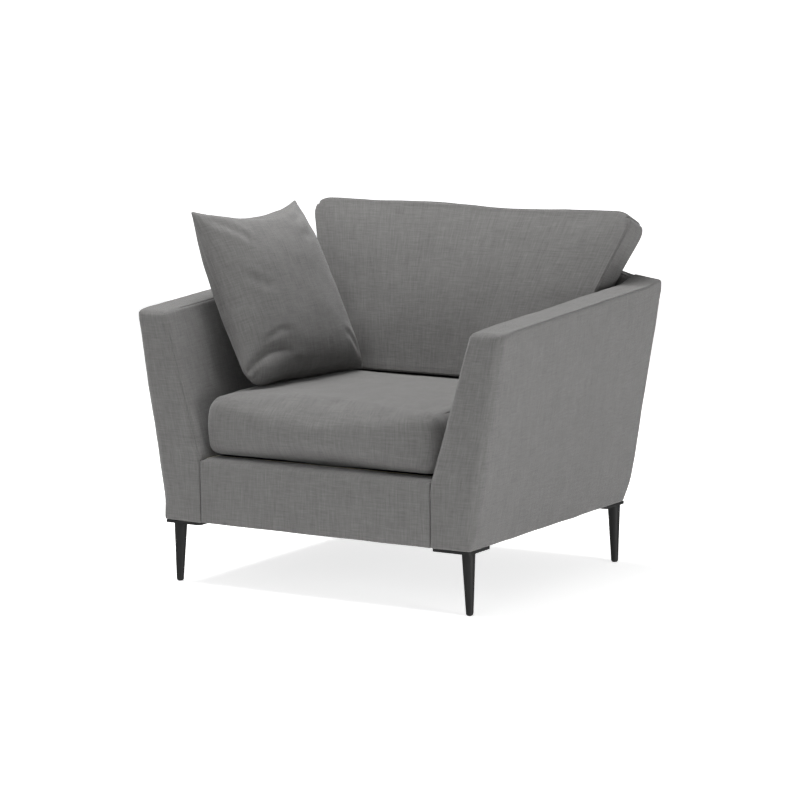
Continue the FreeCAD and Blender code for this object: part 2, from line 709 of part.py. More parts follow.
def lean_on_arm(part):
    """Stands a piece of the scatter cushion on the seat and leans it on the right arm."""
    middle = number("scatter_rear - scatter_wide / 2")
    foot = FreeCAD.Vector(-number("scatter_foot"), middle, number("scatter_low"))
    tilt = FreeCAD.Rotation(FreeCAD.Vector(0, 1, 0), -number("scatter_lean"))
    part.Placement = FreeCAD.Placement(foot, tilt)
    return part


def strip(name, across, along, tall):
    """A small flat box at the origin, before it is put in its place."""
    bar = doc.addObject("Part::Box", name)
    for side, size in (("Length", across), ("Width", along), ("Height", tall)):
        bar.setExpression(side, bound(size))
    doc.recompute([bar])
    return bar


def hang_below_seam(part, across, along):
    """Moves a zip piece to the lower seam of the leaning scatter cushion."""
    shift = FreeCAD.Vector(across, number(along), -part.Height.Value - number("layer_gap"))
    part.Placement.Base = part.Placement.multVec(shift)
    return part


FILL_GAP = 0.3


def cushion(prefix, form):
    """A sewn cover with its filling."""
    filling = form(prefix + "_filling", f"(skin + {FILL_GAP})")
    outside = form(prefix + "_outside", "0")
    inside = form(prefix + "_inside", "skin")
    return joined("Cut", prefix + "_shell", outside, inside), filling


ZIP_WIDE = 9
ZIP_THICK = 1.5
ZIP_SHORT = 40
SLIDER_LONG = 14
SLIDER_WIDE = 8
SLIDER_THICK = 4
SLIDER_GAP = 0.1
SLIDER_INSET = 0.5


def behind(along, height):
    """Where a zip's parts lie on a rear face: along Y and upwards from the zip's lower edge."""
    tape = ((along, height), (f"{along} + {ZIP_THICK}", f"{height} + {ZIP_WIDE}"))
    near = f"{along} + {ZIP_THICK + SLIDER_GAP}"
    far = f"{along} + {ZIP_THICK + SLIDER_THICK}"
    lump = ((near, f"{height} + {SLIDER_INSET}"), (far, f"{height} + {SLIDER_INSET + SLIDER_WIDE}"))
    return tape, lump


def beneath(along, height):
    """Where a zip's parts lie under a cushion: along Y from its front edge and downwards."""
    tape = ((along, f"{height} - {ZIP_THICK}"), (f"{along} + {ZIP_WIDE}", height))
    lump = ((f"{along} + {SLIDER_INSET}", f"{height} - {ZIP_THICK + SLIDER_THICK}"),
            (f"{along} + {SLIDER_INSET + SLIDER_WIDE}", f"{height} - {ZIP_THICK + SLIDER_GAP}"))
    return tape, lump


def zip_set(prefix, half, places):
    """A zip across the chair, its slider standing at the sitter's right end."""
    start = f"-({half})"
    tape, lump = places
    keep(box(prefix + "_tape", (start, *tape[0]), (half, *tape[1])), prefix + "_cushion_zip")
    end = f"{start} + {SLIDER_LONG}"
    keep(box(prefix + "_lump", (start, *lump[0]), (end, *lump[1])), prefix + "_zip_slider")


def scatter_zip():
    """The scatter cushion's zip hangs along its lower seam with the slider on the arm side."""
    half = "scatter_wide / 2 - 60"
    tape = lean_on_arm(strip("scatter_tape", 1.2, f"2 * ({half})", 6))
    keep(hang_below_seam(tape, -0.6, f"-({half})"), "scatter_cushion_zip")
    lump = lean_on_arm(strip("scatter_lump", 3, SLIDER_LONG, 6))
    keep(hang_below_seam(lump, -3.7, f"-({half})"), "scatter_zip_slider")


def make_cushions():
    cover, filling = cushion("seat", seat_form)
    keep(cover, "seat_cushion_cover")
    keep(filling, "seat_cushion_core")
    zip_set("seat", f"seat_wide - {ZIP_SHORT}", behind("seat_rear", "seat_zip_low"))

    cover, filling = cushion("back", rest_form)
    keep(cover, "back_cushion_cover")
    keep(filling, "back_cushion_core")
    zip_set("back", f"rest_half_low - {ZIP_SHORT}", beneath("rest_rear_low - 50", "rest_low"))

    cover, filling = cushion("scatter", scatter_form)
    keep(lean_on_arm(cover), "scatter_cushion_cover")
    keep(lean_on_arm(filling), "scatter_cushion_pad")
    scatter_zip()


# ---------------------------------------------------------------- legs

def make_legs(bores):
    """A plate, a tapered tube leaning slightly outwards, and a plastic glide at each corner."""
    for side, sign in SIDES:
        for end, way in (("front", -1), ("rear", 1)):
            tag = f"{end}_{side}"
            edge_x = "foot_half - plate_inset"
            edge_y = "body_depth_half - plate_inset" if end == "front" else "plate_rear"
            square = [
                (f"{sign} * ({edge_x} - plate_side)", f"{way} * ({edge_y} - plate_side)"),
                (f"{sign} * ({edge_x})", f"{way} * ({edge_y} - plate_side)"),
                (f"{sign} * ({edge_x})", f"{way} * ({edge_y})"),
                (f"{sign} * ({edge_x} - plate_side)", f"{way} * ({edge_y})"),
            ]
            plate = padded("plate_" + tag, "XY", square, "leg_height - plate", "leg_height")
            level = number("leg_height - plate / 2")
            rounded(plate, "plate_round", lambda point, edge: abs(point.z - level) < 0.1)
            keep(joined("Cut", "bored_plate_" + tag, plate, bores), "leg_plate_" + tag)

            centre_y = f"{way} * leg_{end}"
            make_leg(tag, sign, centre_y)


def cone_between(body, kind, name, rings):
    """Lofts a body between two level circles, given as level, centre and radius."""
    sketches = []
    for level, across, along, radius in rings:
        sketch = attach(body, "XY", level)
        draw_circle(sketch, across, along, radius)
        sketches.append(sketch)
    loft = body.newObject(kind, name)
    loft.Profile = sketches[0]
    loft.Sections = sketches[1:]
    doc.recompute(sketches + [loft, body])


def make_leg(tag, sign, centre_y):
    foot_x = f"{sign} * leg_across"
    top_x = f"{sign} * (leg_across - leg_lean)"
    under = "leg_height - plate"
    tube = doc.addObject("PartDesign::Body", "tube_" + tag)
    cone_between(tube, "PartDesign::AdditiveLoft", "tube_skin_" + tag, (
        ("glide", foot_x, centre_y, "leg_foot_radius"),
        (under, top_x, centre_y, "leg_top_radius"),
    ))
    cone_between(tube, "PartDesign::SubtractiveLoft", "tube_bore_" + tag, (
        ("glide", foot_x, centre_y, "leg_foot_radius - leg_wall"),
        (under, top_x, centre_y, "leg_top_radius - leg_wall"),
    ))
    keep(tube, "leg_" + tag)

    glide = doc.addObject("PartDesign::Body", "glide_" + tag)
    cone_between(glide, "PartDesign::AdditiveLoft", "glide_head_" + tag, (
        ("0", foot_x, centre_y, "leg_foot_radius - 0.6"),
        ("glide", foot_x, centre_y, "leg_foot_radius"),
    ))
    rounded(glide, "glide_round", lambda point, edge: point.z < 0.1)
    cone_between(glide, "PartDesign::AdditiveLoft", "glide_stem_" + tag, (
        ("glide", foot_x, centre_y, "leg_foot_radius - leg_wall - 0.1"),
        ("glide + glide_stem", foot_x, centre_y, "leg_foot_radius - leg_wall - 0.6"),
    ))
    keep(glide, "leg_glide_" + tag)


make_seat_rails()
screw_bores = make_corner_blocks_and_screws()
make_arm_frames()
make_back_frame()
make_suspension()
make_deck()
make_arms()
make_back()
make_front_rail_cover()
make_dust_cover()
make_cushions()
make_legs(screw_bores)
doc.recompute()

for item in doc.Objects:
    if "Invalid" in item.State or "Error" in item.State:
        raise RuntimeError(f"{item.Label} failed: {item.State}")
for part in nodes:
    if part.Shape.isNull() or not part.Shape.isValid():
        raise RuntimeError(f"{part.Label} has no valid shape")

os.makedirs("parts", exist_ok=True)
for part in nodes:
    part.Shape.exportStep(f"parts/{part.Label}.step")
print(len(nodes), "sub-parts written")
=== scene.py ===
import json
import math

import bmesh
import bpy
import numpy as np
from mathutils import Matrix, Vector, noise


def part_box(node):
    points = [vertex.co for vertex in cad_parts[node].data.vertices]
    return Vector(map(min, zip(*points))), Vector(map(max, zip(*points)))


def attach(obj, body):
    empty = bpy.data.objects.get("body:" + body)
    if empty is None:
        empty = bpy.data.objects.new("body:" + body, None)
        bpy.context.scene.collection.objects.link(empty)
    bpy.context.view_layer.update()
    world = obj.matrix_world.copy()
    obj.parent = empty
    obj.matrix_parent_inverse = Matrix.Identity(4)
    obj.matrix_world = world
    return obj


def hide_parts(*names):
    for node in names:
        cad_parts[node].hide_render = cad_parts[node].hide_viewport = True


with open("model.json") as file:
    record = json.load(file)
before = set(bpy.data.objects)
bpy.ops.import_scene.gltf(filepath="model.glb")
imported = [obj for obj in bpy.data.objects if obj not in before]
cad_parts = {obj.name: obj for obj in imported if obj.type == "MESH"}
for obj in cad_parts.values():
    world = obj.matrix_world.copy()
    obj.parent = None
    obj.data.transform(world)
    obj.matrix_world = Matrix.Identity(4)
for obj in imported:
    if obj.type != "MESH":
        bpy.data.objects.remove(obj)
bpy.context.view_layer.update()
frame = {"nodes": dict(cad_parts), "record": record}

# Upholstered armchair: fabric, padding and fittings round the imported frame. Metres, +Z up,
# the chair faces -Y, the sitter's left is +X.

SIDES = (("left", 1), ("right", -1))


# ---------------------------------------------------------------- shader maths

class Maths:
    """A socket that Python's operators work on by adding Math nodes."""

    def __init__(self, paint, socket):
        self.paint = paint
        self.socket = socket

    def _with(self, operation, first, second):
        return self.paint.add("ShaderNodeMath", {"operation": operation}, {0: first, 1: second})

    def __add__(self, other):
        return self._with("ADD", self, other)

    def __radd__(self, other):
        return self._with("ADD", other, self)

    def __mul__(self, other):
        return self._with("MULTIPLY", self, other)

    def __rmul__(self, other):
        return self._with("MULTIPLY", other, self)


class Paint:
    """One material's node tree."""

    def __init__(self, name):
        self.material = bpy.data.materials.new(name)
        self.material.use_nodes = True
        self.tree = self.material.node_tree
        self.shader = self.tree.nodes["Principled BSDF"]

    def feed(self, socket, value):
        if isinstance(value, Maths):
            self.tree.links.new(value.socket, socket)
        else:
            socket.default_value = value

    def add(self, kind, settings=None, inputs=None, out=0):
        """Any node: its settings first, then the values or links of its sockets."""
        node = self.tree.nodes.new(kind)
        for key, value in (settings or {}).items():
            if key == "stops":
                for stop, (place, colour) in zip(node.color_ramp.elements, value):
                    stop.position = place
                    stop.color = colour
            else:
                setattr(node, key, value)
        for key, value in (inputs or {}).items():
            self.feed(node.inputs[key], value)
        return Maths(self, node.outputs[out])

    def place(self):
        """The point of the surface in the piece's own axes, in metres."""
        return self.add("ShaderNodeTexCoord", out=3)

    def axes(self, vector):
        split = self.add("ShaderNodeSeparateXYZ", inputs={0: vector})
        return [Maths(self, split.socket.node.outputs[index]) for index in range(3)]

    def join(self, across, along, up):
        return self.add("ShaderNodeCombineXYZ", inputs={0: across, 1: along, 2: up})

    def noise(self, vector, scale, detail=2.0, roughness=0.5):
        return self.add("ShaderNodeTexNoise", {"noise_dimensions": "3D"},
                        {"Vector": vector, "Scale": scale, "Detail": detail, "Roughness": roughness})

    def mix(self, share, first, second):
        """A colour between two others."""
        node = self.tree.nodes.new("ShaderNodeMix")
        node.data_type = "RGBA"
        for socket, value in ((node.inputs[0], share), (node.inputs[6], first), (node.inputs[7], second)):
            self.feed(socket, value)
        return Maths(self, node.outputs[2])

    def bump(self, height, distance, strength=1.0):
        return self.add("ShaderNodeBump",
                        inputs={"Height": height, "Distance": distance, "Strength": strength})

    def finish(self, **sockets):
        """Sets the shader's sockets, whose spaces are written as underscores."""
        for name, value in sockets.items():
            self.feed(self.shader.inputs[name.replace("_", " ")], value)
        return self.material


# ---------------------------------------------------------------- sizes, from the frame

ARM_LOW, ARM_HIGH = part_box("arm_cover_left")
SEAT_HALF = ARM_LOW.x
FRONT = ARM_LOW.y
REAR = ARM_HIGH.y
BODY_LOW = ARM_LOW.z
FOOT_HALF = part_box("leg_plate_front_left")[1].x + 0.002
RAIL_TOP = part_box("front_rail_cover")[1].z
CROWN_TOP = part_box("outside_back_cover")[1].z
BACK_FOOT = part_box("inside_back_cover")[0].y
ARM_FRONT_TOP = 0.640
ARM_RISE = 0.0617
SPLAY_OUT = 0.1605
SPLAY_IN = 0.2877
BACK_RAKE = 0.378
CROWN_RADIUS = 2.91
CORNER_RADIUS = 0.012
HEM_RADIUS = 0.045
HEM_HEIGHT = 0.230


def smooth(share):
    """0 below 0, 1 above 1 and an even curve between."""
    share = np.clip(share, 0, 1)
    return share * share * (3 - 2 * share)


def outer_face(height):
    """How far out an arm's outside is at a height."""
    return FOOT_HALF + SPLAY_OUT * (height - BODY_LOW)


def inner_face(height):
    """How far out an arm's inside is at a height."""
    return SEAT_HALF + SPLAY_IN * np.maximum(height - RAIL_TOP, 0)


def crown(across):
    """Height of the back's curved top edge."""
    return CROWN_TOP - across * across / (2 * CROWN_RADIUS)


def back_face(height):
    """The raked front of the fixed back."""
    return BACK_FOOT + BACK_RAKE * (height - RAIL_TOP)


# ---------------------------------------------------------------- padded forms

ROWS = (0, 0.0014, 0.0032, 0.0055, 0.0085, 0.0125, 0.018, 0.025)
SEAM_WIDTH = 0.0017
RIDGE_AWAY = 0.0055
RIDGE_WIDTH = 0.003


def rows(length, step, even):
    """Places of the mesh's rows along a side, close together at both ends unless they are to be even."""
    if even or length < 3 * ROWS[-1]:
        return np.linspace(0, length, max(2, round(length / step)) + 1)
    count = round((length - 2 * ROWS[-1]) / step)
    middle = np.linspace(ROWS[-1], length - ROWS[-1], count + 1)
    ends = np.array(ROWS[:-1])
    return np.concatenate([ends, middle, length - ends[::-1]])


class Form:
    """The skin of a padded block: a box with a name for each face, rounded and then bent to its outline."""

    def __init__(self, size, names, step=0.010, even=False):
        self.size = np.array(size)
        self.ends = {name: (axis, end) for axis, pair in enumerate(names) for end, name in enumerate(pair)}
        lines = [rows(length, gap, even) for length, gap in zip(size, np.broadcast_to(step, 3))]
        self.lines = lines
        self.index = {}
        places = []
        self.faces = []
        self.sides = []
        for axis in range(3):
            first, second = (axis + 1) % 3, (axis + 2) % 3
            for end in (0, 1):
                for one in range(len(lines[first]) - 1):
                    for two in range(len(lines[second]) - 1):
                        loop = [(one, two), (one + 1, two), (one + 1, two + 1), (one, two + 1)]
                        cell = [0, 0, 0]
                        cell[axis] = end * (len(lines[axis]) - 1)
                        face = []
                        for cell[first], cell[second] in loop if end else reversed(loop):
                            key = tuple(cell)
                            if key not in self.index:
                                self.index[key] = len(places)
                                places.append([lines[side][key[side]] for side in range(3)])
                            face.append(self.index[key])
                        self.faces.append(face)
                        self.sides.append(axis)
        self.flat = np.array(places)
        self.points = self.flat.copy()
        self.faces = np.array(self.faces)

    def unit(self):
        """Each point's share of the way along the three sides."""
        return (self.flat / self.size).T

    def off(self, name):
        """Each point's distance from a face of the sharp box."""
        axis, end = self.ends[name]
        return np.abs(self.flat[:, axis] - end * self.size[axis])

    def on(self, name):
        return self.off(name) < 1e-9

    def rounded(self, radii, plain):
        """Moves the points onto arcs. radii gives the radius of an edge by the two faces that it joins."""
        total = np.zeros(len(self.flat))
        wanted = np.zeros(len(self.flat))
        axes = {name: place[0] for name, place in self.ends.items()}
        pairs = [(one, two) for one in axes for two in axes if axes[one] < axes[two]]
        for one, two in pairs:
            radius = radii.get((one, two), radii.get((two, one), plain))
            near = 1 / (np.hypot(self.off(one), self.off(two)) + 0.002) ** 3
            total += near
            wanted += near * radius
        radius = (wanted / total)[:, None]
        core = np.clip(self.flat, radius, self.size - radius)
        out = self.flat - core
        self.points = core + out / np.linalg.norm(out, axis=1)[:, None] * radius
        return self

    def cornered(self, one, two, radius):
        """Rounds the edge of two faces all across the block, after its smaller edges."""
        reach = []
        middle = []
        for name in (one, two):
            axis, end = self.ends[name]
            middle.append(self.size[axis] - radius if end else radius)
            reach.append((self.points[:, axis] - middle[-1]) * (1 if end else -1))
        inside = (reach[0] > 0) & (reach[1] > 0)
        far = np.maximum(np.hypot(*reach), 1e-9)
        scale = np.where(inside, np.maximum(*reach) / far, 1)
        for name, centre in zip((one, two), middle):
            axis = self.ends[name][0]
            self.points[:, axis] = centre + (self.points[:, axis] - centre) * scale
        return self

    def normals(self):
        corner = self.points[self.faces]
        across = np.cross(corner[:, 2] - corner[:, 0], corner[:, 3] - corner[:, 1])
        total = np.zeros_like(self.points)
        for turn in range(4):
            np.add.at(total, self.faces[:, turn], across)
        return total / np.maximum(np.linalg.norm(total, axis=1), 1e-12)[:, None]

    def push(self, height):
        """Moves each point out along the surface's normal."""
        self.points = self.points + self.normals() * height[:, None]
        return self

    def carried(self, coarse, moves):
        """Moves the points as the same places of a coarser form of this block have moved."""
        total = np.zeros_like(self.points)
        for axis in range(3):
            first, second = (axis + 1) % 3, (axis + 2) % 3
            for end in (0, 1):
                here = self.flat[:, axis] == end * self.size[axis]
                cells = []
                shares = []
                for side in (first, second):
                    line = coarse.lines[side]
                    cell = np.clip(np.searchsorted(line, self.flat[here, side]) - 1, 0, len(line) - 2)
                    cells.append(cell)
                    shares.append((self.flat[here, side] - line[cell]) / (line[cell + 1] - line[cell]))
                result = 0
                for one in (0, 1):
                    for two in (0, 1):
                        weight = np.abs(1 - one - shares[0]) * np.abs(1 - two - shares[1])
                        keys = np.zeros((here.sum(), 3), int)
                        keys[:, axis] = end * (len(coarse.lines[axis]) - 1)
                        keys[:, first] = cells[0] + one
                        keys[:, second] = cells[1] + two
                        found = [coarse.index[tuple(key)] for key in keys]
                        result = result + weight[:, None] * moves[found]
                total[here] = result
        self.points = self.points + total
        return self

    def near_edge(self, *pairs, within=0.001):
        """Points on the edges of these pairs of faces."""
        found = np.zeros(len(self.flat), bool)
        for one, two in pairs:
            found |= np.hypot(self.off(one), self.off(two)) < within
        return found

    def ripple(self, seed, height, scale):
        """The slight unevenness of padding under cloth."""
        shift = Vector((seed * 3.7, seed * 1.3, seed * 2.9))
        waves = [noise.noise(Vector(point) * scale + shift) for point in self.points]
        return self.push(np.array(waves) * height)

    def swell(self, name, height):
        """Bulges one face, most in its middle."""
        axis = self.ends[name][0]
        rise = self.on(name) * height
        for side in range(3):
            if side != axis:
                rise = rise * (1 - (2 * self.flat[:, side] / self.size[side] - 1) ** 4)
        return self.push(rise)

    def seam_height(self, one, two, start=-1, end=2, depth=0.0020):
        """A sewn groove along the edge of two faces, between two shares of its length."""
        away = np.hypot(self.off(one), self.off(two))
        side = 3 - self.ends[one][0] - self.ends[two][0]
        share = self.unit()[side]
        fade = 0.04
        strength = smooth((share - start) / fade) * smooth((end - share) / fade)
        groove = -depth * np.exp(-(away / SEAM_WIDTH) ** 2)
        ridge = 0.15 * depth * np.exp(-((away - RIDGE_AWAY) / RIDGE_WIDTH) ** 2)
        return (groove + ridge) * strength

    def sewn(self, *seams):
        """Presses the seams into the surface."""
        height = np.zeros(len(self.flat))
        for seam in seams:
            height += self.seam_height(*seam)
        return self.push(height)

    def bent(self, outline):
        """Moves the points by a function of the three shares of the rounded box."""
        shares = (self.points / self.size).T
        self.points = np.stack(outline(*shares), axis=1)
        return self


def build(name, form, material, level=1, mirror=False):
    """A smooth closed piece whose weave follows each panel."""
    points = form.points * ((-1, 1, 1) if mirror else (1, 1, 1))
    faces = form.faces[:, ::-1] if mirror else form.faces
    mesh = bpy.data.meshes.new(name)
    mesh.from_pydata(points.tolist(), [], faces.tolist())
    weave = mesh.uv_layers.new(name="weave")
    panels = {0: (1, 2), 1: (0, 2), 2: (0, 1)}
    across = np.array([panels[side] for side in form.sides])
    flat = form.flat[faces]
    layout = np.take_along_axis(flat, across[:, None, :].repeat(4, 1), 2)
    weave.data.foreach_set("uv", layout.reshape(-1))
    mesh.polygons.foreach_set("use_smooth", [True] * len(faces))
    mesh.materials.append(material)
    mesh.update()
    piece = bpy.data.objects.new(name, mesh)
    bpy.context.scene.collection.objects.link(piece)
    if level:
        soft = piece.modifiers.new("surface", "SUBSURF")
        soft.levels = level
        soft.render_levels = level
    return piece


# ---------------------------------------------------------------- fixed upholstery

def tuck(points):
    """Rounds the body's lower rear corners in plan, more towards the hem."""
    across, along, height = points.T
    low = np.clip((HEM_HEIGHT - height) / (HEM_HEIGHT - BODY_LOW), 0, 1)
    radius = CORNER_RADIUS + (HEM_RADIUS - CORNER_RADIUS) * low ** 1.6
    centre = outer_face(height) - radius
    side = np.abs(across) - centre
    back = along - (REAR - radius)
    inside = (side > 0) & (back > 0)
    far = np.maximum(np.hypot(side, back), 1e-9)
    scale = np.where(inside, np.maximum(side, back) / far, 1.0)
    moved = np.where(inside, centre + side * scale, np.abs(across)) * np.sign(across)
    return np.stack([moved, np.where(inside, REAR - radius + back * scale, along), height], axis=1)


def arm_outline(across, along, up):
    depth = FRONT + along * (REAR - FRONT)
    slope = ARM_FRONT_TOP + ARM_RISE * (depth - FRONT)
    middle = (ARM_LOW.x + ARM_HIGH.x) / 2 + 0.03
    towards = smooth((depth - 0.300) / (REAR - 0.300))
    side = middle + (across - 0.5) * 0.084
    top = slope + towards * (crown(side) - 0.002 - slope)
    height = BODY_LOW + up * (top - BODY_LOW)
    inside = inner_face(height)
    return inside + across * (outer_face(height) - inside), depth, height


def make_arms(material):
    names = (("inner", "outer"), ("front", "rear"), ("bottom", "top"))
    for side, sign in SIDES:
        form = Form((0.100, REAR - FRONT, 0.515), names, 0.010)
        high = smooth((form.unit()[2] - 0.26) / 0.08)
        ahead = 1 - smooth(form.off("front") / 0.06)
        above = smooth(form.off("bottom") / 0.06)
        form.rounded({
            ("outer", "front"): 0.008 + 0.016 * above,
            ("outer", "rear"): 0.011,
            ("outer", "top"): 0.009 + 0.011 * ahead,
            ("inner", "top"): 0.009 + 0.004 * ahead,
            ("inner", "front"): 0.004 + 0.009 * high,
            ("front", "top"): 0.017,
            ("rear", "top"): 0.012,
        }, 0.006)
        form.cornered("rear", "top", 0.022).bent(arm_outline)
        form.points = tuck(form.points)
        form.swell("outer", 0.0035).swell("inner", 0.002).swell("front", 0.0015).swell("top", 0.001)
        form.ripple(1 + sign, 0.0016, 9).ripple(3 + sign, 0.0006, 26)
        form.sewn(
            ("inner", "top", 0.055, 0.96, 0.0016),
            ("outer", "top", 0.055, 0.95, 0.0018),
            ("inner", "front", 0.28, 0.930),
            ("outer", "rear", 0.15, 0.92, 0.0014),
        )
        arm = build("arm_upholstery_" + side, form, material, mirror=sign < 0)
        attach(arm, "chair")
        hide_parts("arm_cover_" + side, "arm_foam_" + side)


def back_outline(across, along, up):
    side = 2 * across - 1
    height = RAIL_TOP + 0.001 + up * (CROWN_TOP - RAIL_TOP)
    reach = inner_face(height) - 0.0008
    drop = crown(side * reach) - CROWN_TOP - 0.006 * smooth((np.abs(side) - 0.86) / 0.12)
    height = height + up * drop
    face = back_face(height)
    return side * reach, face + along * (REAR - face), height


def make_back(material):
    """The fixed inside back between the arms."""
    names = (("right", "left"), ("front", "rear"), ("bottom", "top"))
    form = Form((0.80, 0.12, CROWN_TOP - RAIL_TOP), names, 0.012)
    form.rounded({("front", "top"): 0.010, ("rear", "top"): 0.018}, 0.004)
    form.bent(back_outline)
    form.swell("front", 0.004).ripple(7, 0.0016, 9)
    form.sewn(("front", "top"))
    back = build("inside_back", form, material)
    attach(back, "chair")
    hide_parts("inside_back_cover", "back_foam")


PANEL_INSET = 0.008


def panel_outline(across, along, up):
    """The closing panel at the rear, a little inside the body's outline."""
    side = 2 * across - 1
    height = BODY_LOW + 0.002 + up * (CROWN_TOP - BODY_LOW - 0.016)
    reach = outer_face(height) - PANEL_INSET
    low_end = 0.006 * smooth((np.abs(side) - 0.80) / 0.12)
    height = height + up * (crown(side * reach) - CROWN_TOP - low_end)
    return side * reach, REAR - 0.006 + along * 0.0085, height


def make_outside_back(material):
    names = (("right", "left"), ("front", "rear"), ("bottom", "top"))
    form = Form((0.90, 0.0085, CROWN_TOP - BODY_LOW), names, 0.012)
    form.rounded({}, 0.0035)
    form.bent(panel_outline)
    form.points = tuck(form.points)
    form.swell("rear", 0.0035).ripple(11, 0.0014, 9)
    panel = build("outside_back", form, material)
    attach(panel, "chair")
    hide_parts("outside_back_cover")


def make_front_rail(material):
    low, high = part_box("front_rail_cover")
    names = (("right", "left"), ("front", "rear"), ("bottom", "top"))
    size = high - low
    form = Form(size, names, 0.010)
    form.rounded({
        ("front", "top"): 0.016,
        ("top", "right"): 0.014,
        ("top", "left"): 0.014,
        ("rear", "top"): 0.010,
    }, 0.004)
    form.points = form.points + np.array(low)
    form.swell("front", 0.002).swell("top", 0.001).ripple(13, 0.0014, 10)
    rail = build("front_rail_upholstery", form, material)
    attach(rail, "chair")
    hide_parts("front_rail_cover", "front_rail_foam")


# ---------------------------------------------------------------- loose cushions

def volume(form):
    """The space inside a closed form, in cubic metres."""
    corner = form.points[form.faces]
    halves = ((0, 1, 2), (0, 2, 3))
    total = 0
    for a, b, c in halves:
        total += np.einsum("ij,ij->", corner[:, a], np.cross(corner[:, b], corner[:, c]))
    return total / 6


STIFFNESS = 15
BENDING = 0.5


def filled(form, held, room, most, frames=20, strength=12):
    """How a cover's points move when cloth simulation fills it to a volume.

    The held points stay, and no point moves further than most.
    """
    mesh = bpy.data.meshes.new("cover")
    mesh.from_pydata(form.points.tolist(), [], form.faces.tolist())
    cover = bpy.data.objects.new("cover", mesh)
    scene = bpy.context.scene
    scene.collection.objects.link(cover)
    cloth = cover.modifiers.new("filling", "CLOTH")
    settings = cloth.settings
    settings.quality = 6
    settings.use_pressure = True
    settings.use_pressure_volume = True
    settings.target_volume = room
    settings.uniform_pressure_force = 0
    settings.pressure_factor = strength
    settings.effector_weights.gravity = 0
    settings.tension_stiffness = STIFFNESS
    settings.compression_stiffness = STIFFNESS
    settings.shear_stiffness = STIFFNESS / 3
    settings.bending_stiffness = BENDING
    cloth.collision_settings.use_collision = False
    if held.any():
        group = cover.vertex_groups.new(name="held")
        group.add([int(place) for place in np.flatnonzero(held)], 1.0, "REPLACE")
        settings.vertex_group_mass = "held"
    for frame_number in range(1, frames + 1):
        scene.frame_set(frame_number)
    result = cover.evaluated_get(bpy.context.evaluated_depsgraph_get())
    after = np.zeros(len(mesh.vertices) * 3)
    result.data.vertices.foreach_get("co", after)
    bpy.data.objects.remove(cover)
    scene.frame_set(1)
    move = after.reshape(-1, 3) - form.points
    far = np.maximum(np.linalg.norm(move, axis=1), 1e-9)
    return move * (most * np.tanh(far / most) / far)[:, None]


def seat_form(step, even=False):
    low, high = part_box("seat_cushion_cover")
    names = (("right", "left"), ("front", "rear"), ("bottom", "top"))
    inset = np.array((0.004, 0.001, 0.002))
    form = Form(np.array(high - low) - 2 * inset, names, step, even)
    side = 0.020 + 0.017 * (1 - smooth(form.off("front") / 0.12))
    upper = smooth(form.unit()[2] / 0.5)
    form.rounded({
        ("front", "top"): 0.040,
        ("front", "bottom"): 0.024,
        ("front", "left"): 0.026 + 0.011 * upper,
        ("front", "right"): 0.026 + 0.011 * upper,
        ("left", "top"): side,
        ("right", "top"): side,
        ("left", "bottom"): side * 0.7,
        ("right", "bottom"): side * 0.7,
        ("rear", "top"): 0.018,
        ("rear", "left"): 0.022,
        ("rear", "right"): 0.022,
    }, 0.018)
    rise = form.points[:, 2] / form.size[2]
    form.points = form.points + np.array(low) + inset
    form.points[:, 0] *= 1 + 0.045 * np.sin(math.pi * np.clip(rise, 0, 1))
    return form


def make_seat_cushion(material):
    plain = seat_form(0.011, even=True)
    rests = plain.on("bottom") & (plain.off("front") > 0.10)
    held = rests | plain.on("rear")
    moves = filled(plain, held, volume(plain) * 1.07, 0.013)
    form = seat_form(0.010).carried(plain, moves)
    form.ripple(17, 0.0022, 8).ripple(19, 0.0008, 24)
    form.sewn(
        ("left", "top", 0.10, 2),
        ("right", "top", 0.10, 2),
        ("left", "bottom", 0.12, 2),
        ("right", "bottom", 0.12, 2),
        ("rear", "top"),
        ("rear", "bottom"),
    )
    cushion = build("seat_cushion", form, material)
    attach(cushion, "seat_cushion")
    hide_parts("seat_cushion_cover", "seat_cushion_core")


REST_LOW, REST_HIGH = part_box("back_cushion_cover")
REST_FOOT = (REST_LOW.y + 0.004, REST_LOW.z)
REST_HEEL = (0.2645, REST_LOW.z)
REST_FRONT = (0.3275, REST_HIGH.z)
REST_REAR = (REST_HIGH.y - 0.0005, 0.8290)
REST_HALF = (0.304, REST_HIGH.x + 0.004)


def rest_outline(across, along, up):
    """The raked wedge of the back cushion."""
    side = 2 * across - 1
    front = REST_FOOT[0] + up * (REST_FRONT[0] - REST_FOOT[0])
    rear = REST_HEEL[0] + up * (REST_REAR[0] - REST_HEEL[0])
    front_height = REST_FOOT[1] + up * (REST_FRONT[1] - REST_FOOT[1])
    rear_height = REST_HEEL[1] + up * (REST_REAR[1] - REST_HEEL[1])
    sag = 0.007 * np.exp(-((side - 0.35) / 0.35) ** 2) * smooth((up - 0.5) / 0.5)
    height = front_height + along * (rear_height - front_height) - sag
    reach = REST_HALF[0] + up * (REST_HALF[1] - REST_HALF[0])
    return side * reach, front + along * (rear - front), height


def rest_form(step, even=False):
    names = (("right", "left"), ("front", "rear"), ("bottom", "top"))
    form = Form((0.78, 0.092, 0.425), names, step, even)
    form.rounded({
        ("front", "top"): 0.012,
        ("front", "left"): 0.013,
        ("front", "right"): 0.013,
        ("rear", "top"): 0.014,
        ("front", "bottom"): 0.020,
    }, 0.014)
    form.cornered("left", "top", 0.048).cornered("right", "top", 0.048)
    form.cornered("left", "bottom", 0.03).cornered("right", "bottom", 0.03)
    return form.bent(rest_outline)


